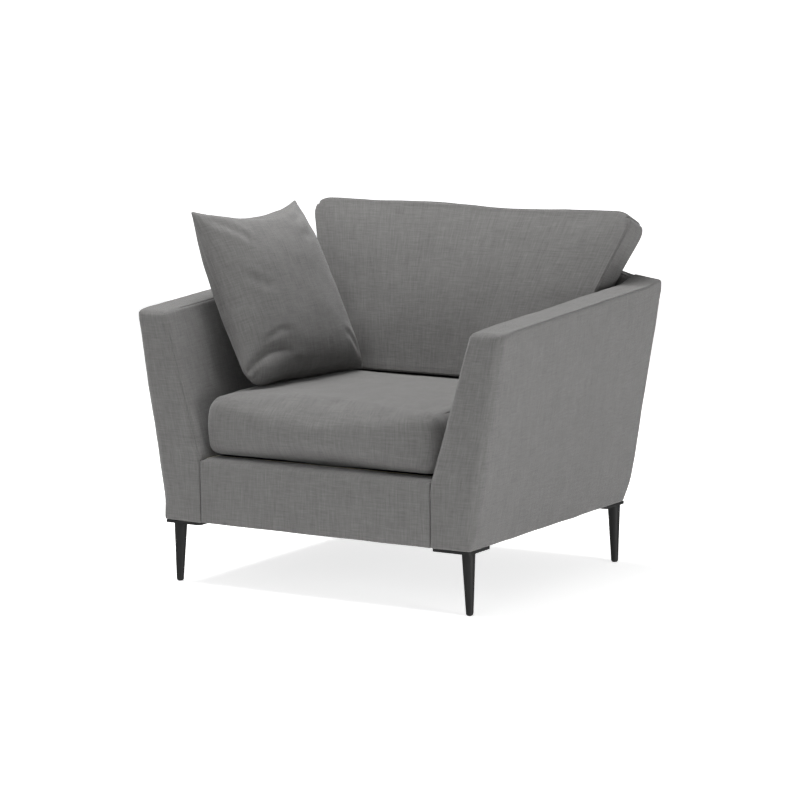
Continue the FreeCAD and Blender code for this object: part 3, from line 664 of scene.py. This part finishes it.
def make_back_cushion(material):
    plain = rest_form(0.012, even=True)
    panel = [(face, edge) for face in ("front", "rear") for edge in ("top", "left", "right")]
    held = plain.on("rear") | plain.on("bottom") | plain.near_edge(*panel)
    moves = filled(plain, held, volume(plain) * 1.22, 0.018)
    form = rest_form(0.011).carried(plain, moves)
    form.ripple(23, 0.0030, 6).ripple(29, 0.0010, 20)
    form.points[:, 2] = np.maximum(form.points[:, 2], REST_LOW.z + 0.0004)
    form.sewn(*panel)
    cushion = build("back_cushion", form, material)
    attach(cushion, "back_cushion")
    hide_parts("back_cushion_cover", "back_cushion_core")


SCATTER_CORNERS = {
    ("foot", "front"): Vector((-0.240, -0.288, 0.463)),
    ("foot", "rear"): Vector((-0.190, 0.142, 0.459)),
    ("head", "front"): Vector((-0.405, -0.290, 0.868)),
    ("head", "rear"): Vector((-0.398, 0.165, 0.866)),
}
SCATTER_SIZE = (0.450, 0.444)
SCATTER_THICK = 0.132
BLUNT = 0.045
EAR = 0.010
TUCK = ((-1.0, -0.84), (-0.90, -0.76), (-0.74, -0.69), (-0.56, -0.70), (-0.34, -0.78))
LUMP = (-0.74, -0.88)
FOLDS = (
    (((-0.86, -0.60), (-0.55, -0.50), (-0.30, -0.52)), 0.0022, 0.030),
    (((-0.45, -0.84), (-0.22, -0.86)), 0.0030, 0.030),
    (((-0.30, -0.90), (0.02, -0.84)), 0.0020, 0.035),
    (((0.92, -0.88), (0.70, -0.66), (0.55, -0.62)), 0.0026, 0.040),
    (((0.20, -0.92), (0.24, -0.60)), 0.0016, 0.030),
    (((0.95, 0.92), (0.62, 0.76), (0.30, 0.66)), 0.0026, 0.045),
    (((0.92, 0.70), (0.60, 0.50), (0.35, 0.50)), 0.0018, 0.050),
    (((-0.94, 0.92), (-0.62, 0.66), (-0.40, 0.44)), 0.0024, 0.050),
    (((-0.80, 0.20), (-0.55, 0.02), (-0.30, -0.04)), 0.0016, 0.050),
)


def pillow_form(step, even=False):
    """Two square panels sewn at their edges round a soft filling, fuller towards the foot."""
    names = (("front", "rear"), ("foot", "head"), ("under", "over"))
    form = Form((*SCATTER_SIZE, 0.004), names, step, even)
    across, along, up = 2 * form.unit() - 1
    fullness = np.where(along > 0, 2.6, 5.0)
    body = ((1 - np.abs(across) ** 2.8) * (1 - np.abs(along) ** fullness)) ** 0.60
    dip = np.where(along > 0, 0.115, 0.0)
    waist = 1 - 0.050 * (1 - along ** 2) * across ** 2
    form.points[:, 0] = across * SCATTER_SIZE[0] / 2 * waist
    form.points[:, 1] = along * SCATTER_SIZE[1] / 2 * (1 - dip * (1 - across ** 2) * along ** 2)
    form.points[:, 2] = up * (0.0015 + SCATTER_THICK / 2 * body)
    return form


def blunted(form):
    """Ends every corner round, the tucked lower front one most."""
    for way_across in (-1, 1):
        for way_along in (-1, 1):
            way = np.array((way_across, way_along))
            radius = BLUNT if way.sum() == -2 else EAR
            away = form.points[:, :2] * way - (np.array(SCATTER_SIZE) / 2 - radius)
            inside = (away > 0).all(axis=1)
            far = np.maximum(np.linalg.norm(away, axis=1), 1e-9)
            scale = np.where(inside, away.max(axis=1) / far, 1)
            form.points[:, :2] += away * (scale - 1)[:, None] * way
    return form


def distance_to_path(across, along, path):
    """How far each place of a panel is from a bent line, and its share of the line's length."""
    best = np.full(len(across), 9.0)
    share = np.zeros(len(across))
    count = len(path) - 1
    for index in range(count):
        start = np.array(path[index])
        line = np.array(path[index + 1]) - start
        run = (across - start[0]) * line[0] + (along - start[1]) * line[1]
        along_line = np.clip(run / (line @ line), 0, 1)
        away = np.hypot(across - start[0] - along_line * line[0], along - start[1] - along_line * line[1])
        nearer = away < best
        best = np.where(nearer, away, best)
        share = np.where(nearer, (index + along_line) / count, share)
    return best, share


def fold(form, path, depth, width):
    """A soft fold of the outer panel along a bent line in shares of the panel from -1 to 1."""
    across, along, up = 2 * form.unit() - 1
    away, share = distance_to_path(across, along, path)
    strength = smooth(share / 0.25) * smooth((1 - share) / 0.45) * (up > 0)
    ridge = np.exp(-(away / width) ** 2) - 0.6 * np.exp(-((away - 2 * width) / width) ** 2)
    return form.push(-depth * strength * ridge)


def tucked_corner(form):
    """The deep fold above the lower front corner, with the filling standing out under it."""
    across, along, up = 2 * form.unit() - 1
    away, share = distance_to_path(across, along, TUCK)
    strength = smooth((1 - share) / 0.35) * (up > 0)
    lump = np.exp(-(((across - LUMP[0]) / 0.20) ** 2 + ((along - LUMP[1]) / 0.11) ** 2)) * (up > 0)
    crease = 0.0125 * strength * np.exp(-(away / 0.034) ** 1.5)
    return form.push(0.009 * lump - crease)


def placed(form):
    """Stretches the pillow's middle between its four corners on the chair."""
    share_across = form.points[:, 0] / SCATTER_SIZE[0] + 0.5
    share_along = form.points[:, 1] / SCATTER_SIZE[1] + 0.5
    corner = {name: np.array(place) for name, place in SCATTER_CORNERS.items()}
    front = corner["head", "front"] - corner["foot", "front"]
    rear = corner["head", "rear"] - corner["foot", "rear"]
    foot = corner["foot", "rear"] - corner["foot", "front"]
    head = corner["head", "rear"] - corner["head", "front"]
    one = share_across[:, None]
    two = share_along[:, None]
    middle = corner["foot", "front"] + one * foot + two * (front + one * (rear - front))
    out = np.cross(foot + two * (head - foot), front + one * (rear - front))
    out = out / np.linalg.norm(out, axis=1)[:, None]
    form.points = middle + out * form.points[:, 2:]
    return form


def make_scatter_cushion(material):
    plain = blunted(pillow_form(0.009, even=True))
    free = np.zeros(len(plain.flat), bool)
    moves = filled(plain, free, volume(plain) * 1.10, 0.010, frames=16, strength=10)
    form = blunted(pillow_form(0.007)).carried(plain, moves)
    tucked_corner(form)
    for values in FOLDS:
        fold(form, *values)
    rim = np.minimum.reduce([form.off(name) for name in ("front", "rear", "foot", "head")])
    groove = -0.0012 * np.exp(-((rim - 0.007) / 0.003) ** 2)
    form.push(groove).ripple(31, 0.003, 9).ripple(37, 0.001, 25)
    placed(form)
    cushion = build("scatter_cushion", form, material)
    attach(cushion, "scatter_cushion")
    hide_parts("scatter_cushion_cover", "scatter_cushion_pad")


# ---------------------------------------------------------------- zips

TOOTH = 0.0024
TOOTH_RISE = 0.0006
COIL_SHARE = 0.40
TAPE_THICK = 0.0008


def lay_out(form, centre, along, across):
    """Stands a flat form at a place, its length and width along two directions."""
    axes = np.array((along, across, np.cross(along, across)))
    form.points = (form.points - form.size * (0.5, 0.5, 0)) @ axes + np.array(centre)
    return form


def zip_form(length, width):
    """A woven tape with two rows of coil teeth that mesh along its middle."""
    names = (("start", "end"), ("near", "far"), ("under", "over"))
    form = Form((length, width, TAPE_THICK), names, (TOOTH / 4, width / 14, 1), even=True)
    across = (2 * form.unit()[1] - 1) / COIL_SHARE
    turn = 2 * math.pi * form.flat[:, 0] / TOOTH + math.pi * (across > 0)
    round_top = np.sqrt(np.clip(1 - across ** 2, 0, 1))
    form.points[:, 2] += form.on("over") * TOOTH_RISE * round_top * (0.6 + 0.4 * np.sin(turn))
    return form


def slider_form(length, width, height):
    """A zip slider: two wings that narrow to the closed end, under a raised bridge."""
    names = (("start", "end"), ("near", "far"), ("under", "over"))
    form = Form((length, width, height * 0.62), names, (length / 18, width / 12, height / 6), even=True)
    form.rounded({}, height * 0.22)
    share = form.unit()[0]
    middle = width / 2
    form.points[:, 1] = middle + (form.points[:, 1] - middle) * (1 - 0.32 * smooth((share - 0.35) / 0.6))
    reach = np.abs(form.points[:, 1] - middle) / (width * 0.20)
    hump = smooth((1 - reach) / 0.5) * smooth((share - 0.12) / 0.12) * smooth((0.88 - share) / 0.12)
    form.points[:, 2] += form.on("over") * height * 0.36 * hump
    return form


def make_zips(materials):
    """Each loose cushion's zip and slider: on the rear, underneath, and under the lower seam."""
    east, rearward, up = np.eye(3)
    zips = (
        ("seat", 0.009, up, rearward, 1),
        ("back", 0.009, rearward, -up, 1),
        ("scatter", 0.007, east, -up, 0.58),
    )
    for name, width, across, out, share in zips:
        along = np.cross(across, out)
        low, high = (np.array(corner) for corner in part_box(name + "_cushion_zip"))
        near, far = (np.array(corner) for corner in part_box(name + "_zip_slider"))
        if name == "scatter":
            low[[0, 2]] = near[[0, 2]]
            high[[0, 2]] = far[0], near[2] + 0.003
        middle = (low + high - out * (high - low)) / 2
        tape = zip_form(abs(np.dot(high - low, along)), width)
        finish_zip(name, lay_out(tape, middle, along, across), materials)
        slide(name, near, far, along, across, out, share, materials)


def slide(name, low, high, along, across, out, share, materials):
    """The slider of one zip, in the outer share of the space it is given."""
    length, width, height = (abs(np.dot(high - low, way)) for way in (along, across, out))
    middle = (low + high) / 2 + out * height * (0.5 - share)
    form = lay_out(slider_form(length, width, height * share), middle, along, across)
    piece = build(name + "_zip_pull", form, materials["zip_metal"], level=1)
    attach(piece, name + "_slider")
    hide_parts(name + "_zip_slider")


def finish_zip(name, tape, materials):
    piece = build(name + "_zip_tape", tape, materials["zip_tape"], level=0)
    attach(piece, name + "_cushion")
    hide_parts(name + "_cushion_zip")


# ---------------------------------------------------------------- sheets

SHEET_SAG = 0.0015


def make_sheet(name, low, high, level, notches, step=0.02):
    """A stretched cloth at one height, with square notches at its corners, as a grid of quads."""
    mesh = bpy.data.meshes.new(name)
    work = bmesh.new()
    across = sorted(set(np.round(np.concatenate([
        np.linspace(low[0], high[0], round((high[0] - low[0]) / step) + 1),
        [place for notch in notches for place in notch[0]],
    ]), 5)))
    along = sorted(set(np.round(np.concatenate([
        np.linspace(low[1], high[1], round((high[1] - low[1]) / step) + 1),
        [place for notch in notches for place in notch[1]],
    ]), 5)))
    corner = {}
    for one in range(len(across) - 1):
        for two in range(len(along) - 1):
            centre = ((across[one] + across[one + 1]) / 2, (along[two] + along[two + 1]) / 2)
            cut = any(x[0] < centre[0] < x[1] and y[0] < centre[1] < y[1] for x, y in notches)
            if not cut:
                loop = []
                for a, b in ((one, two), (one + 1, two), (one + 1, two + 1), (one, two + 1)):
                    if (a, b) not in corner:
                        shares = (across[a] / high[0], along[b] / high[1])
                        sag = math.cos(math.pi / 2 * shares[0]) * math.cos(math.pi / 2 * shares[1])
                        corner[a, b] = work.verts.new((across[a], along[b], level - SHEET_SAG * sag))
                    loop.append(corner[a, b])
                work.faces.new(loop)
    work.to_mesh(mesh)
    work.free()
    piece = bpy.data.objects.new(name, mesh)
    bpy.context.scene.collection.objects.link(piece)
    return piece


# ---------------------------------------------------------------- finishes

FABRIC_DARK = (0.090, 0.0882, 0.0862, 1)
FABRIC_LIGHT = (0.156, 0.1535, 0.1505, 1)
WEAVE_PITCH = 0.0011


def yarns(paint, along, across, other):
    """Tones drawn out along one set of yarns, with the slubs of each yarn."""
    stretched = paint.join(along * 34 + other, across * 520, other)
    return paint.noise(stretched, 1.0, detail=1.5, roughness=0.6)


def upholstery():
    """Plain-woven melange: uneven dark and light yarns both ways, slubs, and a fine weave."""
    paint = Paint("upholstery_fabric")
    cloth = paint.add("ShaderNodeUVMap", {"uv_map": "weave"})
    weft, warp = paint.axes(cloth)[:2]
    filling = yarns(paint, weft, warp, 0.0)
    ends = yarns(paint, warp, weft, 7.3)
    wide_filling = paint.noise(paint.join(weft * 16, warp * 210, 3.1), 1.0, 1.0)
    wide_ends = paint.noise(paint.join(weft * 210, warp * 16, 5.7), 1.0, 1.0)
    cloud = paint.noise(cloth, 14.0, 3.0, 0.6)
    speck = paint.noise(cloth, 900.0, 1.0)
    yarn_tone = filling * 0.30 + ends * 0.30 + wide_filling * 0.16 + wide_ends * 0.16
    tone = yarn_tone + cloud * 0.03 + speck * 0.05
    stops = ((0.34, FABRIC_DARK), (0.66, FABRIC_LIGHT))
    shade = paint.add("ShaderNodeValToRGB", {"stops": stops}, {0: tone})
    pitch = 2 * math.pi / WEAVE_PITCH
    wave = paint.add("ShaderNodeMath", {"operation": "SINE"}, {0: weft * pitch})
    other_wave = paint.add("ShaderNodeMath", {"operation": "SINE"}, {0: warp * pitch})
    weave = wave * other_wave
    height = weave * 0.25 + (filling + ends) * 0.8
    bump = paint.bump(height, 0.0004, 0.55)
    rough = 0.86 + tone * 0.08
    paint.shader.inputs["Sheen Weight"].default_value = 0.22
    paint.shader.inputs["Sheen Roughness"].default_value = 0.5
    paint.shader.inputs["Specular IOR Level"].default_value = 0.18
    return paint.finish(Base_Color=shade, Roughness=rough, Normal=bump)


def speckled(name, dark, light, scale, roughness, metallic, relief, stretch=(1, 1, 1), shine=0.3):
    """A finish of two mixed tones, drawn out along the piece where its grain runs."""
    paint = Paint(name)
    across, along, up = paint.axes(paint.place())
    grain = paint.join(across * stretch[0], along * stretch[1], up * stretch[2])
    fine = paint.noise(grain, scale, 3.0, 0.6)
    broad = paint.noise(grain, scale / 9, 2.0)
    tone = fine * 0.6 + broad * 0.4
    stops = ((0.3, (*dark, 1)), (0.7, (*light, 1)))
    shade = paint.add("ShaderNodeValToRGB", {"stops": stops}, {0: tone})
    paint.shader.inputs["Metallic"].default_value = metallic
    paint.shader.inputs["Specular IOR Level"].default_value = shine
    rough = roughness - 0.08 + tone * 0.16
    return paint.finish(Base_Color=shade, Roughness=rough, Normal=paint.bump(fine, relief, 0.5))


FINISHES = {
    "frame_timber": ((0.42, 0.25, 0.12), (0.62, 0.42, 0.23), 60, 0.6, 0.0, 0.0003, (1, 1, 6)),
    "carcass_foam": ((0.62, 0.58, 0.42), (0.74, 0.70, 0.54), 900, 0.95, 0.0, 0.0006),
    "cushion_foam": ((0.66, 0.62, 0.48), (0.78, 0.74, 0.60), 900, 0.95, 0.0, 0.0006),
    "fibre_fill": ((0.80, 0.80, 0.78), (0.90, 0.90, 0.88), 300, 0.95, 0.0, 0.001),
    "insulator_felt": ((0.16, 0.17, 0.19), (0.45, 0.40, 0.36), 700, 0.97, 0.0, 0.0006),
    "platform_cloth": ((0.055, 0.055, 0.058), (0.085, 0.085, 0.088), 1500, 0.9, 0.0, 0.0002),
    "dust_cloth": ((0.010, 0.010, 0.011), (0.020, 0.020, 0.021), 1400, 0.92, 0.0, 0.0002),
    "elastic_webbing": ((0.30, 0.27, 0.22), (0.44, 0.40, 0.33), 1200, 0.85, 0.0, 0.0004),
    "spring_steel": ((0.28, 0.28, 0.29), (0.42, 0.42, 0.43), 300, 0.42, 1.0, 0.00005),
    "screw_steel": ((0.42, 0.41, 0.38), (0.60, 0.59, 0.55), 400, 0.38, 1.0, 0.00005),
    "black_steel": (
        (0.001, 0.001, 0.0011), (0.0022, 0.0022, 0.0024), 700, 0.52, 0.0, 0.00006, (1, 1, 1), 0.04,
    ),
    "glide_plastic": ((0.006, 0.006, 0.006), (0.010, 0.010, 0.010), 500, 0.55, 0.0, 0.00004),
    "zip_tape": ((0.075, 0.073, 0.070), (0.11, 0.108, 0.104), 1600, 0.85, 0.0, 0.0002),
    "zip_metal": ((0.36, 0.36, 0.37), (0.50, 0.50, 0.51), 500, 0.35, 1.0, 0.00004),
}


def finish_nodes(fabric):
    """Gives every carried-over node the finish of its material slot."""
    made = {"upholstery_fabric": fabric}
    for name, values in FINISHES.items():
        made[name] = speckled(name, *values)
    for slot in frame["record"]["materials"]:
        for node in slot.get("nodes", []):
            piece = frame["nodes"][node]
            piece.data.materials.clear()
            piece.data.materials.append(made[slot["slot"]])
    return made


# ---------------------------------------------------------------- studio

VIEW_TURN = math.radians(30.48)
VIEW_RISE = math.radians(8.13)
VIEW_FAR = 7.331
VIEW_TARGET = Vector((-0.003, 0, 0.4134))
LENS = 138.8
FLOOR_GLOW = 0.72
WORLD_LIGHT = 0.22
WALL_STEPS = 64
FLOOR_RADIUS = 6
WALL_RIMS = ((6, 0), (7.5, 0.3), (8.5, 1.3), (9, 3), (7, 7), (3, 9), (0.1, 9.3))
LAMPS = (
    ("overhead", (-0.7, -0.2, 3.4), 2.4, 165),
    ("right_fill", (3.9, -0.9, 0.7), 1.4, 60),
    ("front_fill", (0.5, -4.4, 2.2), 2.0, 22),
)


def direction(turn, rise):
    return Vector((math.sin(turn) * math.cos(rise), -math.cos(turn) * math.cos(rise), math.sin(rise)))


def make_camera():
    lens = bpy.data.cameras.new("camera")
    lens.lens = LENS
    lens.sensor_width = 36
    lens.clip_end = 50
    camera = bpy.data.objects.new("camera", lens)
    bpy.context.scene.collection.objects.link(camera)
    back = direction(VIEW_TURN, VIEW_RISE)
    camera.location = VIEW_TARGET + back * VIEW_FAR
    camera.rotation_euler = (-back).to_track_quat("-Z", "Y").to_euler()
    bpy.context.scene.camera = camera


def make_lamp(name, place, size, power):
    light = bpy.data.lights.new(name, "AREA")
    light.shape = "DISK"
    light.size = size
    light.energy = power
    lamp = bpy.data.objects.new(name, light)
    bpy.context.scene.collection.objects.link(lamp)
    lamp.location = place
    lamp.rotation_euler = (Vector((0, 0, 0.4)) - Vector(place)).to_track_quat("-Z", "Y").to_euler()


def shell(name, points, faces, glow):
    """A smooth pale surface of the studio that gives some light of its own."""
    mesh = bpy.data.meshes.new(name)
    mesh.from_pydata(points, [], faces)
    mesh.polygons.foreach_set("use_smooth", [True] * len(faces))
    surface = bpy.data.objects.new(name, mesh)
    bpy.context.scene.collection.objects.link(surface)
    paint = Paint(name + "_paint")
    mottle = paint.noise(paint.place(), 2.0, 3.0)
    shade = paint.mix(mottle, (0.90, 0.90, 0.90, 1), (0.94, 0.94, 0.94, 1))
    paint.shader.inputs["Emission Strength"].default_value = glow
    paint.shader.inputs["Emission Color"].default_value = (1, 1, 1, 1)
    mesh.materials.append(paint.finish(Base_Color=shade, Roughness=0.9))
    return surface


def make_studio():
    """A pale floor inside a pale round wall, under soft white light."""
    turns = [2 * math.pi * step / WALL_STEPS for step in range(WALL_STEPS)]
    rounds = [(math.cos(turn), math.sin(turn)) for turn in turns]
    pairs = [(step, (step + 1) % WALL_STEPS) for step in range(WALL_STEPS)]
    floor_points = [(0, 0, 0)] + [(FLOOR_RADIUS * x, FLOOR_RADIUS * y, 0) for x, y in rounds]
    floor_faces = [(0, 1 + step, 1 + after) for step, after in pairs]
    floor = shell("floor", floor_points, floor_faces, FLOOR_GLOW)
    wall_points = [(radius * x, radius * y, height) for radius, height in WALL_RIMS for x, y in rounds]
    wall_faces = []
    for ring in range(len(WALL_RIMS) - 1):
        low = WALL_STEPS * ring
        high = low + WALL_STEPS
        wall_faces += [(low + step, high + step, high + after, low + after) for step, after in pairs]
    wall = shell("backdrop", wall_points, wall_faces, 1.0)
    wall.visible_diffuse = False
    wall.visible_glossy = False
    wall.visible_shadow = False
    floor.visible_glossy = False
    world = bpy.data.worlds.new("studio")
    world.use_nodes = True
    world.node_tree.nodes["Background"].inputs[0].default_value = (1, 1, 1, 1)
    world.node_tree.nodes["Background"].inputs[1].default_value = WORLD_LIGHT
    bpy.context.scene.world = world
    for name, place, size, power in LAMPS:
        make_lamp(name, place, size, power)
    bpy.context.scene.view_settings.view_transform = "Standard"


# ---------------------------------------------------------------- the chair

NOTCH_GAP = 0.003


def make_dust_cover(material):
    low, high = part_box("dust_cover")
    notches = []
    for place in ("front_left", "front_right", "rear_left", "rear_right"):
        near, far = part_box("leg_plate_" + place)
        edges = [(near[axis] - NOTCH_GAP, far[axis] + NOTCH_GAP) for axis in (0, 1)]
        notches.append([np.clip(edges[axis], low[axis], high[axis]) for axis in (0, 1)])
    cover = make_sheet("dust_cover_cloth", low, high, (low.z + high.z) / 2, notches)
    cover.data.materials.append(material)
    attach(cover, "chair")
    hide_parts("dust_cover")


def make_deck_cloth(material):
    low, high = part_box("deck_cloth")
    cover = make_sheet("deck_platform_cloth", low, high, (low.z + high.z) / 2, [])
    cover.data.materials.append(material)
    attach(cover, "chair")
    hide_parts("deck_cloth")


def make_chair():
    fabric = upholstery()
    finishes = finish_nodes(fabric)
    make_arms(fabric)
    make_back(fabric)
    make_outside_back(fabric)
    make_front_rail(fabric)
    make_seat_cushion(fabric)
    make_back_cushion(fabric)
    make_scatter_cushion(fabric)
    make_zips(finishes)
    make_dust_cover(finishes["dust_cloth"])
    make_deck_cloth(finishes["platform_cloth"])


make_camera()
make_studio()
make_chair()
